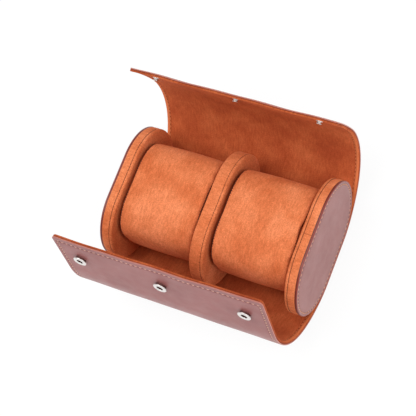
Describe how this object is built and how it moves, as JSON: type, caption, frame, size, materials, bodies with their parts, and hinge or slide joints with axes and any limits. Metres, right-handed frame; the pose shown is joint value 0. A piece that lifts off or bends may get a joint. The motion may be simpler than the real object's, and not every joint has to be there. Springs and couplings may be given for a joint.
{
  "type": "watch travel case",
  "caption": "Rolled travel case for watches: a soft wrap with two snap-closed flaps round stadium-shaped ends, a divider and lift-out cushions.",
  "frame": {"origin": "middle of the flat back panel's outer face, on which the open case stands", "axes": "+X along the roll towards its right end, +Y towards the lid flap, +Z out of the open side"},
  "size_m": [0.16, 0.158, 0.124],
  "materials": {
    "leather": "smooth, semi-matte",
    "cap_leather": "smooth, semi-matte",
    "suede": "brushed suede",
    "cushion_suede": "brushed suede",
    "foam": "open-cell foam",
    "board": "dense fibre board",
    "nickel": "polished nickel plate"
  },
  "bodies": {
    "case": {"back_leather": "leather", "back_board": "board", "back_lining": "suede", "end_face_left": "cap_leather", "end_face_right": "cap_leather", "end_core_left": "board", "end_core_right": "board", "end_band_left": "suede", "end_band_right": "suede", "end_lining_left": "suede", "end_lining_right": "suede", "divider_core": "board", "divider_cover": "suede", "divider_panel": "suede"},
    "lid_1": {"lid_leather_1": "leather", "lid_lining_1": "suede"},
    "lid_2": {"lid_leather_2": "leather", "lid_lining_2": "suede"},
    "lid_3": {"lid_leather_3": "leather", "lid_lining_3": "suede"},
    "lid_4": {"lid_leather_4": "leather", "lid_lining_4": "suede"},
    "lid_5": {"lid_leather_5": "leather", "lid_lining_5": "suede", "snap_studs": "nickel", "stud_rivets": "nickel"},
    "front_1": {"front_leather_1": "leather", "front_lining_1": "suede"},
    "front_2": {"front_leather_2": "leather", "front_lining_2": "suede"},
    "front_3": {"front_leather_3": "leather", "front_lining_3": "suede"},
    "front_4": {"front_leather_4": "leather", "front_lining_4": "suede"},
    "front_5": {"front_leather_5": "leather", "front_lining_5": "suede"},
    "front_6": {"front_leather_6": "leather", "front_lining_6": "suede", "snap_sockets": "nickel", "socket_rivets": "nickel"},
    "cushion_left": {"cushion_cover_left": "cushion_suede", "cushion_foam_left": "foam"},
    "cushion_right": {"cushion_cover_right": "cushion_suede", "cushion_foam_right": "foam"}
  },
  "joints": [
    {"name": "lid_fold", "type": "hinge", "parent": "case", "child": "lid_1", "pos_m": [0, 0.0274, 0.00369], "axis": [1, 0, 0], "range_deg": [-1.8, 8.09], "stiffness_Nm_per_rad": 0.6},
    {"name": "lid_fold_2", "type": "hinge", "parent": "lid_1", "child": "lid_2", "pos_m": [0, 0.04976, 0.01328], "axis": [1, 0, 0], "range_deg": [-4.32, 19.39], "stiffness_Nm_per_rad": 0.6},
    {"name": "lid_fold_3", "type": "hinge", "parent": "lid_2", "child": "lid_3", "pos_m": [0, 0.06679, 0.03067], "axis": [1, 0, 0], "range_deg": [-3.53, 15.82], "stiffness_Nm_per_rad": 0.6},
    {"name": "lid_fold_4", "type": "hinge", "parent": "lid_3", "child": "lid_4", "pos_m": [0, 0.07591, 0.05323], "axis": [1, 0, 0], "range_deg": [-2.57, 11.51], "stiffness_Nm_per_rad": 0.6},
    {"name": "lid_fold_5", "type": "hinge", "parent": "lid_4", "child": "lid_5", "pos_m": [0, 0.07574, 0.07757], "axis": [1, 0, 0], "range_deg": [-4.12, 18.5], "stiffness_Nm_per_rad": 0.6},
    {"name": "front_fold", "type": "hinge", "parent": "case", "child": "front_1", "pos_m": [0, -0.02994, 0.0043], "axis": [-1, 0, 0], "range_deg": [-2, 9.88], "stiffness_Nm_per_rad": 0.6},
    {"name": "front_fold_2", "type": "hinge", "parent": "front_1", "child": "front_2", "pos_m": [0, -0.04709, 0.01183], "axis": [-1, 0, 0], "range_deg": [-3.36, 16.56], "stiffness_Nm_per_rad": 0.6},
    {"name": "front_fold_3", "type": "hinge", "parent": "front_2", "child": "front_3", "pos_m": [0, -0.0612, 0.02414], "axis": [-1, 0, 0], "range_deg": [-2.59, 12.76], "stiffness_Nm_per_rad": 0.6},
    {"name": "front_fold_4", "type": "hinge", "parent": "front_3", "child": "front_4", "pos_m": [0, -0.07099, 0.04011], "axis": [-1, 0, 0], "range_deg": [-2.59, 12.76], "stiffness_Nm_per_rad": 0.6},
    {"name": "front_fold_5", "type": "hinge", "parent": "front_4", "child": "front_5", "pos_m": [0, -0.07555, 0.05827], "axis": [-1, 0, 0], "range_deg": [-2.85, 14.03], "stiffness_Nm_per_rad": 0.6},
    {"name": "front_fold_6", "type": "hinge", "parent": "front_5", "child": "front_6", "pos_m": [0, -0.07447, 0.07697], "axis": [-1, 0, 0], "range_deg": [-2.49, 12.24], "stiffness_Nm_per_rad": 0.6},
    {"name": "cushion_left_lift", "type": "slide", "parent": "case", "child": "cushion_left", "axis": [0, 0, 1], "range_m": [0, 0.115]},
    {"name": "cushion_right_lift", "type": "slide", "parent": "case", "child": "cushion_right", "axis": [0, 0, 1], "range_m": [0, 0.115]}
  ],
  "couplings": [
    {"joint": "lid_fold_2", "follows": "lid_fold", "ratio": 2.3966},
    {"joint": "lid_fold_3", "follows": "lid_fold", "ratio": 1.9557},
    {"joint": "lid_fold_4", "follows": "lid_fold", "ratio": 1.4222},
    {"joint": "lid_fold_5", "follows": "lid_fold", "ratio": 2.2861},
    {"joint": "front_fold_2", "follows": "front_fold", "ratio": 1.6753},
    {"joint": "front_fold_3", "follows": "front_fold", "ratio": 1.2908},
    {"joint": "front_fold_4", "follows": "front_fold", "ratio": 1.2908},
    {"joint": "front_fold_5", "follows": "front_fold", "ratio": 1.4188},
    {"joint": "front_fold_6", "follows": "front_fold", "ratio": 1.2377}
  ]
}
